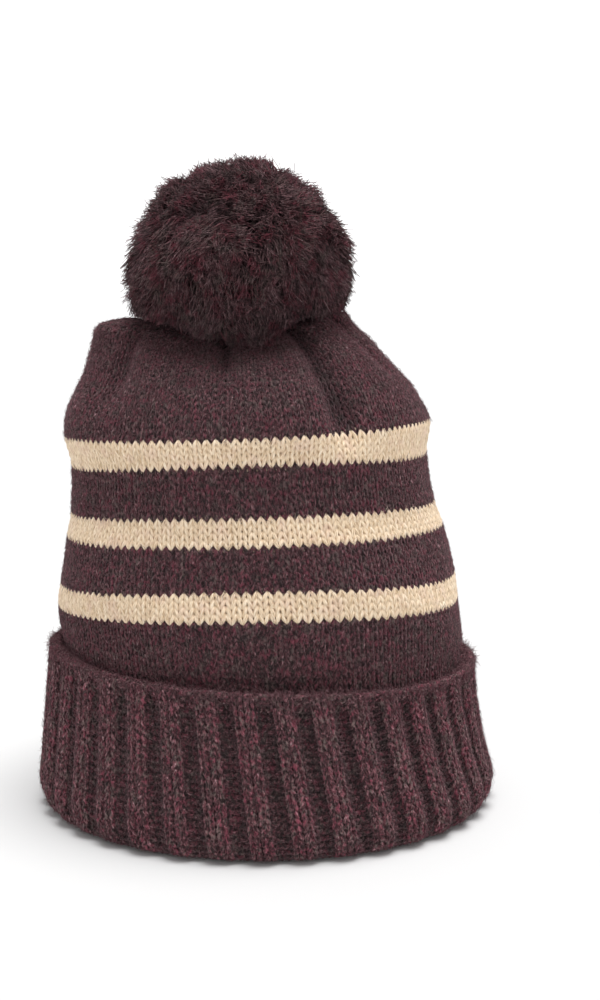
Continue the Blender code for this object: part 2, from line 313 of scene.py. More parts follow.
def tube_points(centres, normals, radii, sides, closed):
    """Rings of points round the centre lines, as (tubes, rings, sides, 3)."""
    ahead = np.roll(centres, -1, 1) - np.roll(centres, 1, 1)
    if not closed:
        ahead[:, 0] = centres[:, 1] - centres[:, 0]
        ahead[:, -1] = centres[:, -1] - centres[:, -2]
    ahead /= np.linalg.norm(ahead, axis=-1, keepdims=True)
    side = np.cross(ahead, normals)
    side /= np.linalg.norm(side, axis=-1, keepdims=True)
    out = np.cross(side, ahead)
    turn = (np.arange(sides) * TAU / sides)[None, None, :, None]
    ring = np.cos(turn) * out[:, :, None] + np.sin(turn) * side[:, :, None]
    return centres[:, :, None] + radii[..., None, None] * ring


def tube_faces(tubes, rings, sides, closed):
    """Four-cornered faces along each tube and, on an open one, three-cornered faces that close its ends."""
    tube = np.arange(tubes)[:, None, None] * rings * sides
    here = np.arange(rings if closed else rings - 1)[None, :, None]
    there = (here + 1) % rings
    k = np.arange(sides)[None, None, :]
    k2 = (k + 1) % sides
    quads = np.stack([
        tube + here * sides + k, tube + there * sides + k, tube + there * sides + k2, tube + here * sides + k2,
    ], -1)
    if closed:
        return quads, None
    fan = np.stack([np.zeros(sides - 2, int), np.arange(1, sides - 1), np.arange(2, sides)], -1)[None]
    last = tube + (rings - 1) * sides
    return quads, np.concatenate([(tube + fan).reshape(-1, 3), (last + fan[..., ::-1]).reshape(-1, 3)])


def four_corners(across, up):
    """UVs of the faces' corners, from their two values across and their two values up."""
    (a0, a1), (v0, v1) = across, up
    return np.stack([np.stack([a, v], -1) for a, v in zip((a0, a1, a1, a0), (v0, v0, v1, v1))], -2)


def tidy_layout(tubes, segments, sides, cell):
    """A tidy grid of UVs, with a cell for every few segments; also the number of cells across."""
    cells_each = max(1, segments // cell)
    across = math.ceil(math.sqrt(tubes * cells_each))
    here = np.arange(segments)[None, :, None]
    k = np.arange(sides)[None, None, :]
    number = np.arange(tubes)[:, None, None] * cells_each + here // cell
    shape = (tubes, segments, sides)
    column, row = np.broadcast_to(number % across, shape), np.broadcast_to(number // across, shape)

    def placed(corner, value):
        return (corner + CELL_MARGIN + (1 - 2 * CELL_MARGIN) * np.broadcast_to(value, shape)) / across

    u = [placed(column, (here % cell + end) / cell) for end in (0, 1)]
    v = [placed(row, (k + end) / sides) for end in (0, 1)]
    return four_corners(u, v), across


def yarn_layout(centres, radii, segments, sides):
    """UVs in millimetres of yarn, from a random start on each tube; also the starts."""
    tubes = len(centres)
    shape = (tubes, segments, sides)
    lengths = np.linalg.norm(np.diff(centres, axis=1, append=centres[:, :1]), axis=-1)[:, :segments] * 1000
    along = np.concatenate([np.zeros((tubes, 1)), np.cumsum(lengths, 1)], 1)
    start = RNG.uniform(0, YARN_STARTS, (tubes, 1, 1))
    lane = RNG.uniform(0, YARN_STARTS, (tubes, 1, 1))
    girth = TAU * float(np.mean(radii)) * 1000
    k = np.arange(sides)[None, None, :]
    u = [np.broadcast_to(a[..., None] + start, shape) for a in (along[:, :-1], along[:, 1:])]
    v = [np.broadcast_to(lane + (k + end) / sides * girth, shape) for end in (0, 1)]
    return four_corners(u, v), start


def tube_piece(name, centres, normals, radii, sides, closed, cell, painted_shade=None):
    """A piece of tubes with the same number of rings each, round centres of (tubes, rings, 3)."""
    tubes, rings = centres.shape[:2]
    points = tube_points(centres, normals, radii, sides, closed)
    quads, tris = tube_faces(tubes, rings, sides, closed)
    segments = rings if closed else rings - 1
    tidy, across = tidy_layout(tubes, segments, sides, cell)
    yarn, start = yarn_layout(centres, radii, segments, sides)
    tidy, yarn = tidy.reshape(-1, 2), yarn.reshape(-1, 2)
    if tris is not None:
        tidy = np.concatenate([tidy, np.full((len(tris) * 3, 2), 0.5 / across)])
        yarn = np.concatenate([yarn, np.repeat(start.ravel(), len(tris) * 3 // tubes)[:, None] * [1, 0.3]])
    painted_shade = None if painted_shade is None else np.repeat(painted_shade.ravel(), sides)
    layers = [("OFBake", tidy), ("yarn", yarn)]
    return make_piece(name, points.reshape(-1, 3), quads.reshape(-1, 4), tris, layers, painted_shade)


# ---- the knit ----

LOOP_SWING = 1.5            # how far each loop bulges past its neck, in radians of the yarn's wave
UNEVEN = 0.10               # spread of the swing and of the stitches' places, in radians
UNEVEN_HEIGHT = 0.035
LOOP_REACH = 0.93           # half-height of a loop, in rows
YARN_SHARE = 0.235          # yarn radius as a share of a stitch's width
THINNEST_YARN, THICKEST_YARN = 0.00050, 0.00098
LOOP_DEPTH = 0.72           # how far the yarn weaves in and out, in yarn radii
FLANK_AT, FLANK_WIDTH = -1.85, 0.38     # the shaded line along each ridge's left flank, in radians of a rib
RIDGE_SPREAD, RIDGE_SPREAD_SIDES = 0.44, 0.34   # how much the ridges widen over the channels
SHADE_FADE_FROM, SHADE_FADE = 0.915, 0.04   # the shading ends before the rim, by share of the section
# The crease depth that gives a crease its fullest painted shade.
CREASE_SHADE_DEPTH = 0.009
WEB_DEPTH, WEB_THICKNESS = KNIT / 2 + 0.0002, 0.0004
STEP = 0.01                 # courses between the samples that give a surface's normal
CUFF_STEP = 0.004


def per_stitch(rows, stitches, turns, amount):
    """A smooth random value along each course, with a fresh draw for each stitch."""
    draw = RNG.normal(0, amount, (rows, stitches))
    index = np.floor(turns).astype(int) % stitches
    share = turns - np.floor(turns)
    share = share * share * (3 - 2 * share)
    return draw[:, index] * (1 - share) + draw[:, (index + 1) % stitches] * share


def knit_piece(name, surface, positions, pitch, stitches, ribbed=False, downwards=False, segments=12, sides=6,
               step=STEP):
    """A stretch of knit, each course a closed wave of yarn that hooks through the course below it."""
    rows = len(positions)
    t = TAU * np.arange(stitches * segments) / segments
    turns = t / TAU
    swing = LOOP_SWING + per_stitch(rows, stitches, turns, UNEVEN)
    across = t + swing * np.sin(2 * t) + per_stitch(rows, stitches, turns, UNEVEN)
    theta = across / stitches
    if ribbed:
        period = theta * RIBS - math.pi / 4
        spread = RIDGE_SPREAD + RIDGE_SPREAD_SIDES * np.cos(theta) ** 2
        theta = (period + spread * np.sin(period)) / RIBS
        side = np.clip(np.cos(period) * 2.6, -1, 1)
    else:
        side = 1.0
    lift = LOOP_REACH * np.cos(t) * (-1 if downwards else 1)
    lift = lift + per_stitch(rows, stitches, turns, UNEVEN_HEIGHT)
    position = positions[:, None] + pitch[:, None] * lift
    point, normal = with_normal(surface, theta, position, step)
    around = np.linspace(0, TAU, 241)
    width = np.array([
        np.linalg.norm(np.diff(surface(around, np.full(len(around), p)), axis=0), axis=1).sum() / stitches
        for p in positions
    ])
    thick = np.clip(YARN_SHARE * width, THINNEST_YARN, THICKEST_YARN)[:, None]
    depth = LOOP_DEPTH * thick * (1 + per_stitch(rows, stitches, turns, 0.08))
    rise = -side * depth * np.cos(2 * t) - KNIT / 2
    # Painted shade: the yarn is darkened where it dips deep into the knit under the crossing yarns.
    painted_shade = np.broadcast_to(0.5 + 0.5 * side * np.cos(2 * t), rise.shape)
    if ribbed:
        near_rim = 1.0
        if downwards:
            near_rim = np.clip((SHADE_FADE_FROM - positions) / SHADE_FADE, 0.15, 1)[:, None]
        # Painted shade in the rib's channels and along each ridge's left flank, the side turned from the light,
        # fading out before the rim.
        channel = (1.0 - rib_wave(theta) ** 2) * (0.80 + 0.20 * np.cos(theta) ** 2)
        flank = bump_at(period, FLANK_AT, FLANK_WIDTH)
        painted_shade = 1.0 - (1.0 - 0.8 * painted_shade) * (1.0 - channel * near_rim) * (1.0 - 0.75 * flank * near_rim)
    elif surface is body_surface:
        # Painted shade in the crown's creases.
        crease = np.clip(crease_depth(theta, position) / CREASE_SHADE_DEPTH, 0, 0.75)
        painted_shade = 1.0 - (1.0 - painted_shade) * (1.0 - crease)
    centres = point + normal * rise[..., None]
    radii = np.broadcast_to(thick * (1 + per_stitch(rows, stitches, turns, 0.04)), rise.shape)
    return tube_piece(name, centres, normal, radii, sides, True, segments, painted_shade=painted_shade)


def courses_between(low, high, rows):
    """Course positions at an even spacing, and their pitch."""
    pitch = (high - low) / rows
    return low + pitch * (np.arange(rows) + 0.5), np.full(rows, pitch)


def even_courses(surface, low, high, rows):
    """Course positions with even spacing over the surface, and their pitch."""
    fine = np.linspace(low, high, 400)
    spans = [
        np.linalg.norm(np.diff(surface(np.full(len(fine), turn), fine), axis=0), axis=1)
        for turn in (0.0, -1.57, 3.14)
    ]
    along = np.concatenate([[0], np.cumsum(np.mean(spans, 0))])
    edges = np.interp(np.linspace(0, along[-1], rows + 1), along, fine)
    return (edges[:-1] + edges[1:]) / 2, np.diff(edges)


def backing(name, surface, low, high, rows, columns):
    """The thin felted web behind the yarns, a closed sheet."""
    theta = np.linspace(0, TAU, columns, endpoint=False)[None, :]
    along = np.linspace(low, high, rows + 1)[:, None]
    theta, along = np.broadcast_arrays(theta, along)
    point, normal = with_normal(surface, theta, along, STEP)
    points = np.concatenate([
        (point - normal * depth).reshape(-1, 3) for depth in (WEB_DEPTH, WEB_DEPTH + WEB_THICKNESS)
    ])
    i = np.arange(rows)[:, None] * columns
    k = np.arange(columns)[None, :]
    k2 = (k + 1) % columns
    outer = np.stack([i + k, i + k2, i + columns + k2, i + columns + k], -1).reshape(-1, 4)
    shift = (rows + 1) * columns
    inner = outer[:, ::-1] + shift
    k, k2 = k.ravel(), k2.ravel()
    bottom = np.stack([k, k + shift, k2 + shift, k2], -1)
    top = rows * columns
    cap = np.stack([top + k2, top + k2 + shift, top + k + shift, top + k], -1)
    return make_piece(name, points, np.concatenate([outer, inner, bottom, cap]))


# ---- materials ----

def linear(*rgb):
    """An opaque colour from its 8-bit sRGB values."""
    return tuple(((c / 255 + 0.055) / 1.055) ** 2.4 if c > 10 else c / 255 / 12.92 for c in rgb) + (1.0,)


class Tree:
    """A material and short calls that add nodes to it."""

    def __init__(self, name, roughness, sheen=0.0, sheen_tint=(1, 1, 1, 1), sheen_roughness=0.5):
        self.material = bpy.data.materials.new(name)
        self.material.use_nodes = True
        self.tree = self.material.node_tree
        self.shader = self.tree.nodes["Principled BSDF"]
        self.shader.inputs["Roughness"].default_value = roughness
        self.shader.inputs["Sheen Weight"].default_value = sheen
        self.shader.inputs["Sheen Tint"].default_value = sheen_tint
        self.shader.inputs["Sheen Roughness"].default_value = sheen_roughness
        self.shader.inputs["Specular IOR Level"].default_value = 0.25

    def node(self, kind, inputs=(), **settings):
        node = self.tree.nodes.new(kind)
        for key, value in settings.items():
            setattr(node, key, value)
        for key, value in dict(inputs).items():
            if isinstance(value, bpy.types.NodeSocket):
                self.tree.links.new(value, node.inputs[key])
            else:
                node.inputs[key].default_value = value
        return node

    def noise(self, vector, scale, detail=3.0, roughness=0.6, distortion=0.0):
        return self.node("ShaderNodeTexNoise", {
            "Vector": vector, "Scale": scale, "Detail": detail, "Roughness": roughness, "Distortion": distortion,
        }).outputs["Fac"]

    def stretched(self, vector, scale):
        return self.node("ShaderNodeVectorMath", {0: vector, 1: scale}, operation="MULTIPLY").outputs[0]

    def yarn_uv(self):
        return self.node("ShaderNodeUVMap", uv_map="yarn").outputs["UV"]

    def place(self):
        return self.node("ShaderNodeTexCoord").outputs["Object"]

    def ramp(self, factor, stops):
        node = self.node("ShaderNodeValToRGB", {"Fac": factor})
        ramp = node.color_ramp
        while len(ramp.elements) < len(stops):
            ramp.elements.new(0.5)
        for element, (place, colour) in zip(ramp.elements, stops):
            element.position, element.color = place, colour
        return node.outputs["Color"]

    def mix(self, factor, a, b):
        node = self.node("ShaderNodeMix", {"Factor": factor}, data_type="RGBA")
        for socket, value in ((node.inputs[6], a), (node.inputs[7], b)):
            if isinstance(value, bpy.types.NodeSocket):
                self.tree.links.new(value, socket)
            else:
                socket.default_value = value
        return node.outputs[2]

    def level(self, value, low, high, to_low, to_high):
        return self.node("ShaderNodeMapRange", {
            "Value": value, "From Min": low, "From Max": high, "To Min": to_low, "To Max": to_high,
        }).outputs[0]

    def plus(self, a, b):
        return self.node("ShaderNodeMath", {0: a, 1: b}, operation="ADD").outputs[0]

    def times(self, a, b):
        return self.node("ShaderNodeMath", {0: a, 1: b}, operation="MULTIPLY").outputs[0]

    def finish(self, colour, height, distance, strength, rough=None):
        self.tree.links.new(colour, self.shader.inputs["Base Color"])
        if rough is not None:
            self.tree.links.new(rough, self.shader.inputs["Roughness"])
        bump = self.node("ShaderNodeBump", {"Height": height, "Distance": distance, "Strength": strength})
        self.tree.links.new(bump.outputs["Normal"], self.shader.inputs["Normal"])
        return self.material


# gain scales the wool's tones; depth is the share of brightness left under full painted shade.
def heather_wool(name, gain, depth):
    """Plum wool spun from wine, charcoal and mauve-grey fibres, with painted shade where the yarn lies deep in
    the knit.
    """
    tree = Tree(name, 0.9, sheen=0.3, sheen_tint=linear(222, 186, 192), sheen_roughness=0.35)
    tone = lambda *rgb: tuple(min(1.0, c * gain) for c in linear(*rgb)[:3]) + (1.0,)
    uv, place = tree.yarn_uv(), tree.place()
    flecks = tree.noise(tree.stretched(uv, (0.42, 1.9, 1.0)), 1.0, 4.0, 0.7, 0.4)
    wool = tree.ramp(flecks, [
        (0.36, tone(42, 22, 26)), (0.44, tone(88, 54, 59)), (0.50, tone(120, 76, 82)),
        (0.57, tone(140, 86, 93)), (0.66, tone(210, 176, 180)),
    ])
    wine = tree.noise(tree.stretched(place, (1.0, 1.0, 0.75)), 330.0, 4.0, 0.65, 0.3)
    broad = tree.noise(tree.stretched(place, (1.0, 1.0, 2.2)), 75.0, 2.0, 0.5)
    wine = tree.plus(wine, tree.level(broad, 0.3, 0.7, -0.06, 0.06))
    wool = tree.mix(tree.level(wine, 0.50, 0.58, 0.0, 0.75), wool, tone(136, 64, 80))
    grey = tree.noise(tree.stretched(place, (1.0, 1.0, 0.6)), 400.0, 4.0, 0.65, 0.5)
    wool = tree.mix(tree.level(grey, 0.51, 0.59, 0.0, 0.75), wool, tone(114, 103, 98))
    mottle = tree.noise(tree.stretched(place, (1.0, 1.0, 0.55)), 950.0, 3.0, 0.7, 0.3)
    shade = tree.level(mottle, 0.43, 0.59, 0.06, 1.0)
    # Painted shade: yarn deep in the knit, in the rib's channels, on the ridges' left flanks and in the creases
    # darkens towards a near-black colour, down to depth.
    painted_shade = tree.node("ShaderNodeAttribute", attribute_name="painted_shade").outputs["Fac"]
    shade = tree.times(shade, tree.level(painted_shade, 0.35, 1.0, 1.0, depth))
    wool = tree.mix(shade, linear(14, 8, 9), wool)
    hairs = tree.noise(tree.stretched(uv, (0.9, 7.0, 1.0)), 1.0, 2.0, 0.6, 0.3)
    rough = tree.level(hairs, 0.3, 0.7, 0.82, 0.98)
    return tree.finish(wool, hairs, 0.0005, 1.0, rough)


def cream_wool(name):
    """Off-white wool with faint darker fibres and a blush here and there."""
    tree = Tree(name, 0.85, sheen=0.25, sheen_tint=linear(255, 240, 220), sheen_roughness=0.5)
    uv, place = tree.yarn_uv(), tree.place()
    flecks = tree.noise(tree.stretched(uv, (0.3, 2.0, 1.0)), 1.0, 3.0, 0.6, 0.3)
    wool = tree.ramp(flecks, [
        (0.36, linear(194, 165, 130)), (0.5, linear(237, 213, 183)), (0.64, linear(252, 236, 213)),
    ])
    blush = tree.noise(place, 160.0, 2.0, 0.5)
    wool = tree.mix(tree.level(blush, 0.5, 0.7, 0.0, 0.4), wool, linear(226, 194, 178))
    hairs = tree.noise(tree.stretched(uv, (0.8, 6.0, 1.0)), 1.0, 2.0, 0.6, 0.3)
    return tree.finish(wool, hairs, 0.0003, 0.7, tree.level(hairs, 0.3, 0.7, 0.76, 0.94))


def shade_web_wool(name, low, high):
    """The sheet seen in the gaps between yarns, coloured in the dark tones of painted shade, with random specks.
    """
    tree = Tree(name, 0.95, sheen=0.1)
    speck = tree.noise(tree.place(), 1500.0, 3.0, 0.6)
    return tree.finish(tree.ramp(speck, [(0.35, low), (0.65, high)]), speck, 0.0002, 0.8)


def fuzz_wool(name, dark, middle, light):
    """Stray fibres, each with a tone of its own."""
    tree = Tree(name, 0.95, sheen=0.4, sheen_tint=light, sheen_roughness=0.6)
    speck = tree.noise(tree.yarn_uv(), 0.37, 2.0, 0.7)
    return tree.finish(tree.ramp(speck, [(0.35, dark), (0.5, middle), (0.65, light)]), speck, 0.0001, 0.4)


def dress(obj, material, body, slot, *nodes):
    """Give a piece its material and body, and hide the CAD nodes it stands in for; slot is not used."""
    obj.data.materials.clear()
    obj.data.materials.append(material)
    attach(obj, body)
    if nodes:
        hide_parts(*nodes)
    return obj


PLUM = heather_wool("plum_heather_wool", 0.80, 0.24)
# The cuff's copy of the same plum wool: painted light, brighter than the body's (gain 1.33 against 0.80), with
# deeper painted shade (0.10 against 0.24).
RIB_BRIGHTENED = heather_wool("plum_heather_rib_brightened", 1.33, 0.10)
CREAM = cream_wool("cream_wool")
# Painted shade: near-black behind the plum knit and brown behind the cream, the shade between the yarns.
PLUM_WEB_SHADE = shade_web_wool("plum_web_painted_shade", linear(18, 10, 11), linear(36, 22, 25))
CREAM_WEB_SHADE = shade_web_wool("cream_web_painted_shade", linear(112, 84, 56), linear(150, 118, 84))
PLUM_FUZZ = fuzz_wool("plum_fuzz", linear(48, 26, 30), linear(94, 60, 66), linear(138, 108, 112))
CREAM_FUZZ = fuzz_wool("cream_fuzz", linear(220, 196, 164), linear(244, 224, 198), linear(255, 246, 232))


# ---- knitted pieces ----

# Each band: CAD node, first and last row of COURSES, courses of knit, yarn.
BANDS = [
    ("band_base", 1.0, 3.0, 13, "plum"), ("stripe_bottom", 3.0, 4.0, 4, "cream"),
    ("band_lower", 4.0, 5.0, 7, "plum"), ("stripe_middle", 5.0, 6.0, 4, "cream"),
    ("band_upper", 6.0, 7.0, 7, "plum"), ("stripe_top", 7.0, 8.0, 4, "cream"),
]
CUFF_ROWS, CUFF_SPLIT, INNER_RIB_ROWS, CROWN_ROWS = 33, 16, 19, 31
CROWN_TOP = 13.9
# The crown's two rounds of decreases, by row of COURSES, and the courses before, between and after them.
HALVED_FROM, QUARTERED_FROM = 11.4, 12.9
EDGE = 0.02                 # how far short of its band each web stops


def knit_body():
    """The bands, the stripes and the crown, with the webs behind them."""
    for node, low, high, rows, colour in BANDS:
        positions, pitch = even_courses(body_surface, low, high, rows)
        wool, web_shade = (CREAM, CREAM_WEB_SHADE) if colour == "cream" else (PLUM, PLUM_WEB_SHADE)
        knit = knit_piece(f"{node}_yarns", body_surface, positions, pitch, BODY_STITCHES)
        dress(knit, wool, "hat", f"{colour}_knit", node)
        web = backing(f"{node}_web", body_surface, low + EDGE, high - EDGE, max(2, rows // 2), 96)
        dress(web, web_shade, "hat", f"{colour}_knit")
    positions, pitch = even_courses(body_surface, CROWN_FIRST, CROWN_TOP, CROWN_ROWS)
    decreases = (positions >= HALVED_FROM).astype(int) + (positions >= QUARTERED_FROM)
    for done in range(3):
        chosen = decreases == done
        knit = knit_piece(
            f"crown_yarns_{done + 1}", body_surface, positions[chosen], pitch[chosen], BODY_STITCHES // 2 ** done,
            sides=5,
        )
        dress(knit, PLUM, "hat", "plum_knit", "crown")
    web = backing("crown_web", body_surface, CROWN_FIRST + EDGE, CROWN_TOP, 24, 120)
    dress(web, PLUM_WEB_SHADE, "hat", "plum_knit")


def knit_cuff():
    """The turned-up rib and the inner rib behind it."""
    positions, pitch = courses_between(0.0, 1.0, CUFF_ROWS)
    for number, chosen in enumerate((slice(0, CUFF_SPLIT), slice(CUFF_SPLIT, None)), 1):
        knit = knit_piece(
            f"cuff_rib_yarns_{number}", cuff_surface, positions[chosen], pitch[chosen], RIB_STITCHES, ribbed=True,
            downwards=True, segments=10, step=CUFF_STEP,
        )
        dress(knit, RIB_BRIGHTENED, "cuff", "plum_rib", "cuff_outer_rib")
    dress(backing("cuff_web", cuff_surface, EDGE, 1 - EDGE, 30, RIBS * 8), PLUM_WEB_SHADE, "cuff", "plum_rib")
    positions, pitch = even_courses(inner_rib_surface, EDGE, 1.0, INNER_RIB_ROWS)
    knit = knit_piece(
        "inner_rib_yarns", inner_rib_surface, positions, pitch, RIB_STITCHES, ribbed=True, segments=8, sides=5,
    )
    dress(knit, RIB_BRIGHTENED, "hat", "plum_rib", "inner_rib")
    dress(backing("inner_rib_web", inner_rib_surface, 0.03, 0.99, 12, RIBS * 4), PLUM_WEB_SHADE, "hat", "plum_rib")


knit_body()
knit_cuff()


# ---- fuzz, and the twisted yarns that hold the hat together ----

HAIR_RADIUS = 0.000075
HAIR_ROOT_DEPTH = 0.0007    # under the outer face of the knit
LOWEST_HAIR = 0.0004        # above the floor
RIDGE_TOP = 0.72            # the rib's wave is above this on a ridge


def fuzz(name, surface, low, high, count, length, outwards, ribbed=False, step=STEP):
    """Short stray fibres that lie over the knit, each a closed tapered hair."""
    theta = RNG.uniform(0, TAU, count)
    if ribbed:
        theta = theta[rib_wave(theta) > RIDGE_TOP]
        count = len(theta)
    position = RNG.uniform(low, high, count)
    point, normal = with_normal(surface, theta, position, step)
    along = np.cross(normal, RNG.normal(0, 1, (count, 3)) * [1.0, 1.0, 0.55])
    along /= np.linalg.norm(along, axis=1, keepdims=True)
    aside = np.cross(normal, along)
    size = length * RNG.uniform(0.5, 1.4, count)[:, None]
    rise = outwards * RNG.uniform(0.1, 1.0, count)[:, None]
    bend = RNG.normal(0, 0.22, count)[:, None]
    start = point - normal * HAIR_ROOT_DEPTH
    middle = start + (along * 0.5 + aside * bend * 0.5 + normal * rise * 0.75) * size
    end = start + (along + normal * (rise * 0.9 + 0.0003 / size)) * size
    centres = np.stack([start, middle, end], 1)
    centres[..., 2] = np.maximum(centres[..., 2], LOWEST_HAIR)
    radii = np.array([1.0, 0.8, 0.3])[None] * HAIR_RADIUS * RNG.uniform(0.7, 1.3, (count, 1))
    normals = np.broadcast_to(normal[:, None], centres.shape)
    return tube_piece(name, centres, normals, radii, 3, False, 2)


SEGMENTS_PER_TURN = 8       # along one turn of a twisted yarn


def twisted_yarn(name, path, radius, plies, pitch, closed):
    """Plies twisted round a path of points; a closed path comes back to its start."""
    path = np.array(path)
    loop = np.concatenate([path, path[:1]]) if closed else path
    along = np.concatenate([[0], np.cumsum(np.linalg.norm(np.diff(loop, axis=0), axis=1))])
    turns = max(2, round(along[-1] / pitch))
    count = turns * SEGMENTS_PER_TURN
    read = np.linspace(0, along[-1], count, endpoint=not closed)
    line = np.stack([np.interp(read, along, loop[:, axis]) for axis in range(3)], -1)
    ahead = np.roll(line, -1, 0) - np.roll(line, 1, 0) if closed else np.gradient(line, axis=0)
    ahead /= np.linalg.norm(ahead, axis=1, keepdims=True)
    guide = np.array([0.0, 0.0, 1.0]) if np.abs(ahead[:, 2]).mean() < 0.7 else np.array([0.0, 1.0, 0.0])
    side = np.cross(ahead, guide)
    side /= np.linalg.norm(side, axis=1, keepdims=True)
    up = np.cross(side, ahead)
    ply = radius / 2
    twist = TAU * turns * read / along[-1]
    phases = [(twist + TAU * n / plies)[:, None] for n in range(plies)]
    centres = np.stack([line + ply * (np.cos(phase) * side + np.sin(phase) * up) for phase in phases])
    normals = np.broadcast_to(up, centres.shape) + 0.3 * side
    radii = np.full(centres.shape[:2], ply * (1.08 if plies > 2 else 1.0))
    return tube_piece(name, centres, normals, radii, 6, closed, SEGMENTS_PER_TURN)


def ring_path(centre, radius):
    turn = np.linspace(0, TAU, 48, endpoint=False)
    return np.array(centre) + radius * np.stack([np.cos(turn), np.sin(turn), 0 * turn], -1)


def cast_on_path():
    """Round the cuff's rim, where its chain of cast-on stitches lies."""
    theta = np.linspace(0, TAU, 240, endpoint=False)
    middle = RIM_HALF_WIDTH - 0.0040
    return np.stack([
        middle * np.cos(theta), (middle - RIM_HALF_WIDTH * (1 - DEPTH_RATIO)) * np.sin(theta),
        CUFF_HEIGHT + CUFF_RIM_TILT * np.cos(theta) + 0.0004,
    ], -1)


def seam_path():
    """Up the inside of the back, from side to side once in every four points."""
    position = np.linspace(0.1, 11.6, 220)
    point, normal = with_normal(body_surface, np.full(len(position), math.pi / 2), position, STEP)
    wave = 0.0012 * np.sin(np.arange(len(position)) * TAU / 4)
    return point - normal * (KNIT + 0.0006) + np.stack([wave, 0 * wave, 0 * wave], -1)


def sew(name, path, radius, plies, pitch, closed, *finish):
    """A twisted yarn, dressed."""
    return dress(twisted_yarn(name, path, radius, plies, pitch, closed), *finish)


sew("cast_on_chain", cast_on_path(), 0.0012, 2, 0.0038, True, RIB_BRIGHTENED, "cuff", "plum_rib", "cast_on_edge")
sew("back_seam_stitching", seam_path(), 0.0009, 2, 0.0030, False, PLUM, "hat", "sewing_yarn", "back_seam_yarn")
sew("crown_gather_cord", ring_path(PIVOT, 0.0065), 0.0010, 2, 0.0032, True, PLUM, "hat", "sewing_yarn",
    "crown_gather_yarn")
# Fibres over the plum: first and last row of COURSES, count.
PLUM_FUZZ_SPANS = [(1.5, 3.0, 10000), (4.0, 5.0, 7000), (6.0, 7.0, 7000), (8.0, 12.2, 20000)]
for number, (low, high, count) in enumerate(PLUM_FUZZ_SPANS, 1):
    hairs = fuzz(f"plum_fuzz_{number}", body_surface, low, high, count, 0.0024, 0.45)
    dress(hairs, PLUM_FUZZ, "hat", "plum_knit")
for number, low in enumerate((3.0, 5.0, 7.0), 1):
    hairs = fuzz(f"cream_fuzz_{number}", body_surface, low, low + 1, 1500, 0.0017, 0.35)
    dress(hairs, CREAM_FUZZ, "hat", "cream_knit")
ridge_hairs = fuzz("cuff_fuzz", cuff_surface, 0.20, 0.995, 32000, 0.0026, 0.5, ribbed=True, step=CUFF_STEP)
dress(ridge_hairs, PLUM_FUZZ, "cuff", "plum_rib")
rim_hairs = fuzz("rim_fuzz", cuff_surface, 0.89, 0.995, 5000, 0.0030, 0.7, step=CUFF_STEP)
dress(rim_hairs, PLUM_FUZZ, "cuff", "plum_rib")


def declare_sheets():
    """Goes through the bands, counting those of each colour and naming the web below each; nothing is kept."""

    below, bands_of = "inner_rib_web", {"plum": 0, "cream": 0}
    for node, _, _, rows, colour in BANDS:
        bands_of[colour] += 1
        below = f"{node}_web"


declare_sheets()


# ---- the pom pom ----

RNG = np.random.default_rng(90)
POM_REACH = 0.0502          # from the centre to the tips at its widest
FLATTER_TOP, FLATTER_FOOT = 0.0080, 0.0085
DROOP = 0.0070
TIP_SHIFT = 0.0004
ROOT_REACH, BEND_REACH = 0.014, 0.0425
STRAND_ALONG, STRAND_RADII = [0, 0.6, 1], [0.00032, 0.00023, 0.00010]
CLEARANCE = 0.0006          # of the pile over the crown
HIDDEN_LIFT, HIDDEN_RADIUS = 0.005, 34.0    # the unseen pile round the tie is lifted; radius in millimetres
TABLE_TURNS, TABLE_REACH = 120, 80          # the crown's height table: steps round, millimetres out


def crown_height_table():
    """Height of the crown by angle and distance from the tie, for yarns that rest on it."""
    theta = np.linspace(-math.pi, math.pi, TABLE_TURNS + 1)
    position = np.linspace(8.6, EYE_COURSE, 80)
    grid = body_surface(*np.meshgrid(theta, position, indexing="ij"))
    radius = np.hypot(grid[..., 0] - LEAN, grid[..., 1])
    reach = np.linspace(0, TABLE_REACH / 1000, TABLE_REACH + 1)
    table = np.full((len(theta), len(reach)), -1.0)
    for i in range(len(theta)):
        order = np.argsort(radius[i])
        table[i] = np.interp(reach, radius[i][order], grid[i, order, 2], right=-1.0)
    beside = np.stack([np.roll(table[:-1], turn, 0) for turn in range(-4, 5)]).max(0)
    return np.concatenate([beside, beside[:1]])


CROWN_HEIGHTS = crown_height_table()


def above_crown(points):
    """Lift points that would sink into the crown."""
    x, y = points[..., 0] - LEAN, points[..., 1]
    angle = (np.arctan2(y, x) + math.pi) / TAU * TABLE_TURNS
    reach = np.clip(np.hypot(x, y) / 0.001, 0, TABLE_REACH)
    height = CROWN_HEIGHTS[np.clip(np.round(angle).astype(int), 0, TABLE_TURNS), np.round(reach).astype(int)]
    hidden = HIDDEN_LIFT * np.clip((HIDDEN_RADIUS - reach) / 12.0, 0, 1)
    points[..., 2] = np.maximum(points[..., 2], height + CLEARANCE + hidden)
    return points


def sphere_points(count):
    """Random directions, spread evenly over a sphere."""
    z = RNG.uniform(-1, 1, count)
    turn = RNG.uniform(0, TAU, count)
    r = np.sqrt(1 - z * z)
    return np.stack([r * np.cos(turn), r * np.sin(turn), z], -1)


LUMPS = sphere_points(15)
CLEFT_WIDTH, CLEFT_DEPTH = 0.09, 0.14
# How much longer the pile is cut on the pom pom's right and left, by how far up its side.
POM_LEVELS = [0.0, 0.35, 0.45, 0.80, 1.0]
POM_RIGHT = [0.0, 0.0010, 0.0036, -0.0035, 0.0]
POM_LEFT = [0.0, -0.0032, -0.0042, -0.0020, 0.0]


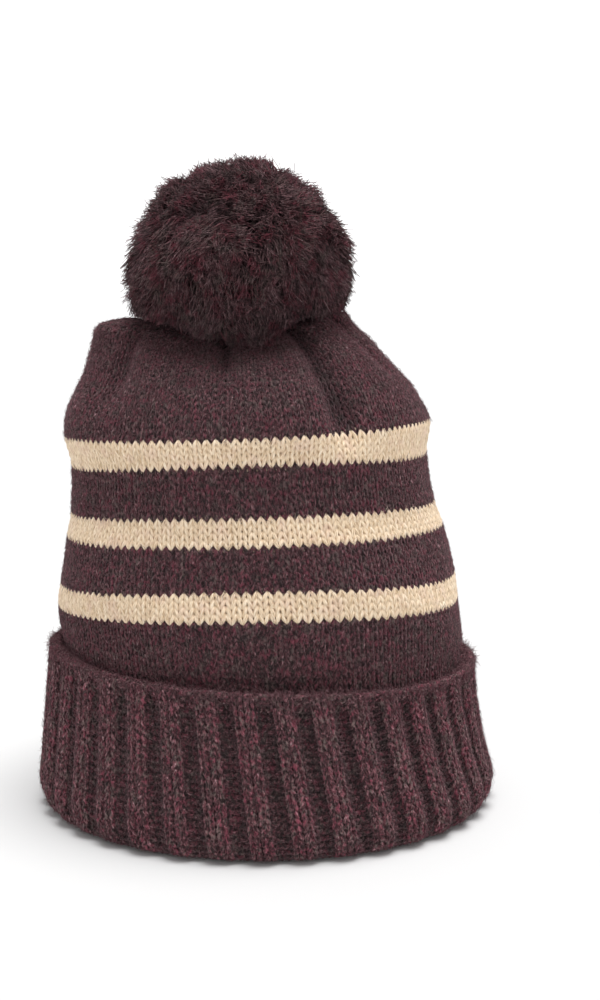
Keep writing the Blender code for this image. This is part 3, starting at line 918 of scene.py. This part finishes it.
def cleft(d):
    """0 in the middle of a lump of the pile, 1 in the cleft between two lumps."""
    near = np.sort(d @ LUMPS.T, 1)
    return np.exp(-((near[:, -1] - near[:, -2]) / CLEFT_WIDTH) ** 2)


def pom_tips(d, length):
    """The cut tips of strands that point along the directions d, drooping under their own weight."""
    level = np.hypot(d[:, 0], d[:, 1])
    reach = POM_REACH - FLATTER_TOP * np.clip(d[:, 2], 0, 1) ** 2 - FLATTER_FOOT * np.clip(-d[:, 2], 0, 1)
    reach += np.clip(d[:, 0], 0, 1) * np.interp(d[:, 2], POM_LEVELS, POM_RIGHT)
    reach += np.clip(-d[:, 0], 0, 1) * np.interp(d[:, 2], POM_LEVELS, POM_LEFT)
    tip = POM_CENTRE + d * (reach * length)[:, None]
    tip[:, 2] -= DROOP * level * np.clip(1 - d[:, 2], 0.0, 1.2)
    tip[:, 0] += TIP_SHIFT
    return tip


def turned_up(d, angle, swirl):
    """Directions turned towards the top by an angle and sideways by another."""
    up = np.array([0.0, 0.0, 1.0]) - d * d[:, 2:]
    up /= np.maximum(np.linalg.norm(up, axis=1, keepdims=True), 0.05)
    side = np.cross(d, up)
    turned = d * np.cos(angle)[:, None] + up * np.sin(angle)[:, None] + side * np.sin(swirl)[:, None]
    return turned / np.linalg.norm(turned, axis=1, keepdims=True)


# The pile is gathered in locks, each combed up, swirled and cut in its own way.
LOCKS = sphere_points(260)
LOCK_COMB = RNG.uniform(0.05, 0.80, len(LOCKS)) * np.clip(0.95 - LOCKS[:, 2], 0.05, 1.0)
LOCK_SWIRL = RNG.normal(0, 0.32, len(LOCKS))
LOCK_LENGTH = RNG.normal(1.0, 0.025, len(LOCKS))


def pom_pile(name, count, low, high):
    """Strands whose directions rise by low to high: bent hairs from near the centre to the cut tips."""
    d = sphere_points(int(count * 2.4))
    d = d[(d[:, 2] >= low) & (d[:, 2] < high)][:count]
    count = len(d)
    owner = np.argmax(d @ LOCKS.T, 1)
    below_top = np.clip((0.9 - d[:, 2]) / 0.3, 0, 1)
    length = RNG.normal(0.995, 0.030, count) * LOCK_LENGTH[owner] * (1 - CLEFT_DEPTH * cleft(d) * below_top)
    tip = pom_tips(d, length)
    pull = RNG.uniform(0.0, 0.38, count)[:, None]
    tip += (pom_tips(LOCKS, LOCK_LENGTH)[owner] - tip) * pull
    comb = LOCK_COMB[owner] + RNG.normal(0, 0.22, count)
    swirl = LOCK_SWIRL[owner] + RNG.normal(0, 0.30, count)
    root = POM_CENTRE + turned_up(d, comb, swirl) * ROOT_REACH
    middle = POM_CENTRE + turned_up(d, 0.6 * comb, swirl * 0.6) * BEND_REACH
    s = np.linspace(0, 1, 5)[None, :, None]
    centres = (1 - s) ** 2 * root[:, None] + 2 * s * (1 - s) * middle[:, None] + s ** 2 * tip[:, None]
    wander = RNG.normal(0, 0.0008, (count, 1, 3)) * np.sin(s * 6 + RNG.uniform(0, TAU, (count, 1, 1))) * s
    centres = above_crown(centres + wander)
    radii = np.interp(s[..., 0], STRAND_ALONG, STRAND_RADII) * RNG.uniform(0.75, 1.3, (count, 1))
    normals = np.broadcast_to(np.cross(d, RNG.normal(0, 1, (count, 3)))[:, None], centres.shape)
    return tube_piece(name, centres, normals, radii, 3, False, centres.shape[1] - 1)


def pom_wool(name):
    """The pom pom's yarn: wine and grey streaks along the strands, with painted shade towards its heart and its
    foot.
    """
    tree = Tree(name, 0.9, sheen=0.25, sheen_tint=linear(190, 150, 160), sheen_roughness=0.4)
    uv, place = tree.yarn_uv(), tree.place()
    strand = tree.noise(tree.stretched(uv, (0.05, 0.9, 1.0)), 1.0, 3.0, 0.65)
    wool = tree.ramp(strand, [
        (0.37, linear(58, 36, 38)), (0.45, linear(100, 69, 72)), (0.53, linear(134, 98, 102)),
        (0.64, linear(178, 145, 148)),
    ])
    wine = tree.noise(place, 130.0, 5.0, 0.7, 0.3)
    wool = tree.mix(tree.level(wine, 0.49, 0.57, 0.0, 0.75), wool, linear(128, 50, 66))
    grey = tree.noise(tree.stretched(place, (1.0, 1.0, 0.5)), 170.0, 5.0, 0.7, 0.5)
    wool = tree.mix(tree.level(grey, 0.50, 0.60, 0.0, 0.7), wool, linear(106, 98, 92))
    # Painted shade: the pile darkens deeper inside the pom pom, in the clefts between its lumps, and low down at
    # its foot over the crown; the mottle adds random dark patches.
    away = tree.node("ShaderNodeVectorMath", {0: place, 1: tuple(POM_CENTRE)}, operation="DISTANCE")
    lit = tree.level(away.outputs["Value"], 0.035, 0.0475, 0.06, 1.0)
    mottle = tree.noise(place, 480.0, 4.0, 0.75, 0.4)
    lit = tree.times(lit, tree.level(mottle, 0.42, 0.56, 0.10, 1.0))
    height = tree.node("ShaderNodeSeparateXYZ", {0: place}).outputs["Z"]
    low, high = POM_CENTRE[2] - 0.036, POM_CENTRE[2] + 0.006
    wool = tree.mix(tree.times(lit, tree.level(height, low, high, 0.42, 1.0)), linear(18, 10, 11), wool)
    hairs = tree.noise(tree.stretched(uv, (0.5, 6.0, 1.0)), 1.0, 2.0, 0.6)
    return tree.finish(wool, hairs, 0.0002, 0.7, tree.level(hairs, 0.3, 0.7, 0.8, 0.96))


POM = pom_wool("pom_heather_wool")
dress(pom_pile("pom_pile_top_yarns", 19000, 0.2, 1.01), POM, "pom_pom", "pom_pile", "pom_pile_upper")
dress(pom_pile("pom_pile_side_yarns", 25000, -0.66, 0.2), POM, "pom_pom", "pom_pile", "pom_pile_lower")


sew("pom_binding_cord", ring_path(POM_CENTRE, 0.0060), 0.0014, 3, 0.0045, True, POM, "pom_pom", "tie_yarn",
    "pom_binding_yarn")
sew("pom_tie_loop_cord", ring_path(PIVOT, 0.0040), 0.0009, 2, 0.0030, True, POM, "tie_loop", "tie_yarn",
    "pom_tie_loop")
neck_path = PIVOT + np.linspace(-0.0042, 0.0240, 20)[:, None] * np.array([0.0, 0.0, 1.0])
sew("pom_tie_cord", neck_path, 0.0022, 4, 0.0080, False, POM, "tie", "tie_yarn", "pom_tie_neck")


def knot_path():
    """A trefoil, the way a pulled-tight overhand knot lies."""
    t = np.linspace(0, TAU, 90, endpoint=False)
    shape = np.stack([np.sin(t) + 2 * np.sin(2 * t), np.cos(t) - 2 * np.cos(2 * t), -1.2 * np.sin(3 * t)], -1)
    return PIVOT - np.array([0, 0, 0.0085]) + shape * 0.00088


sew("pom_tie_knot", knot_path(), 0.0013, 2, 0.0040, True, POM, "tie", "tie_yarn", "pom_inner_knot")


# ---- studio and camera ----

FLOOR_GREY, FLOOR_DROP = 0.71, 0.0002
SKY_FROM, SKY_TO = (0.24, 0.40), (1.24, 0.46)   # the sky dims as it rises between these two heights
CAMERA_AT, CAMERA_DIP, CAMERA_LENS = (0.0146, -0.623, 0.225), 8.62, 52.4


def sun_light(name, towards, strength, softness):
    """A sun that shines from the direction towards, with its disc softness degrees wide."""
    data = bpy.data.lights.new(name, "SUN")
    data.energy, data.angle = strength, math.radians(softness)
    light = bpy.data.objects.new(name, data)
    light.rotation_euler = Vector(towards).to_track_quat("Z", "Y").to_euler()
    bpy.context.scene.collection.objects.link(light)


def studio():
    """A pale floor, a white world and one soft sun."""
    bpy.ops.mesh.primitive_plane_add(size=60.0, location=(0, 0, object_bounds()[0].z - FLOOR_DROP))
    floor = bpy.context.object
    floor.name = "studio_floor"
    material = bpy.data.materials.new("studio_floor")
    material.use_nodes = True
    shader = material.node_tree.nodes["Principled BSDF"]
    shader.inputs["Base Color"].default_value = (FLOOR_GREY, FLOOR_GREY, FLOOR_GREY, 1)
    shader.inputs["Roughness"].default_value = 0.9
    floor.data.materials.append(material)
    floor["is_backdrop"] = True
    world = bpy.data.worlds.new("studio")
    world.use_nodes = True
    tree = world.node_tree
    place = tree.nodes.new("ShaderNodeTexCoord")
    split = tree.nodes.new("ShaderNodeSeparateXYZ")
    level = tree.nodes.new("ShaderNodeMapRange")
    for socket, value in zip(("From Min", "From Max", "To Min", "To Max"), SKY_FROM + SKY_TO):
        level.inputs[socket].default_value = value
    tree.links.new(place.outputs["Generated"], split.inputs[0])
    tree.links.new(split.outputs["Z"], level.inputs["Value"])
    tree.links.new(level.outputs[0], tree.nodes["Background"].inputs["Strength"])
    tree.nodes["Background"].inputs["Color"].default_value = (1, 1, 1, 1)
    bpy.context.scene.world = world
    sun_light("key", (0.09, -0.05, 1.0), 3.1, 34)
    bpy.context.scene.view_settings.view_transform = "Standard"


def camera():
    data = bpy.data.cameras.new("camera")
    data.lens, data.sensor_width = CAMERA_LENS, 36.0
    data.clip_start, data.clip_end = 0.05, 50.0
    obj = bpy.data.objects.new("camera", data)
    obj.location = CAMERA_AT
    obj.rotation_euler = (math.radians(90 - CAMERA_DIP), 0, 0)
    bpy.context.scene.collection.objects.link(obj)
    bpy.context.scene.camera = obj


camera()
studio()
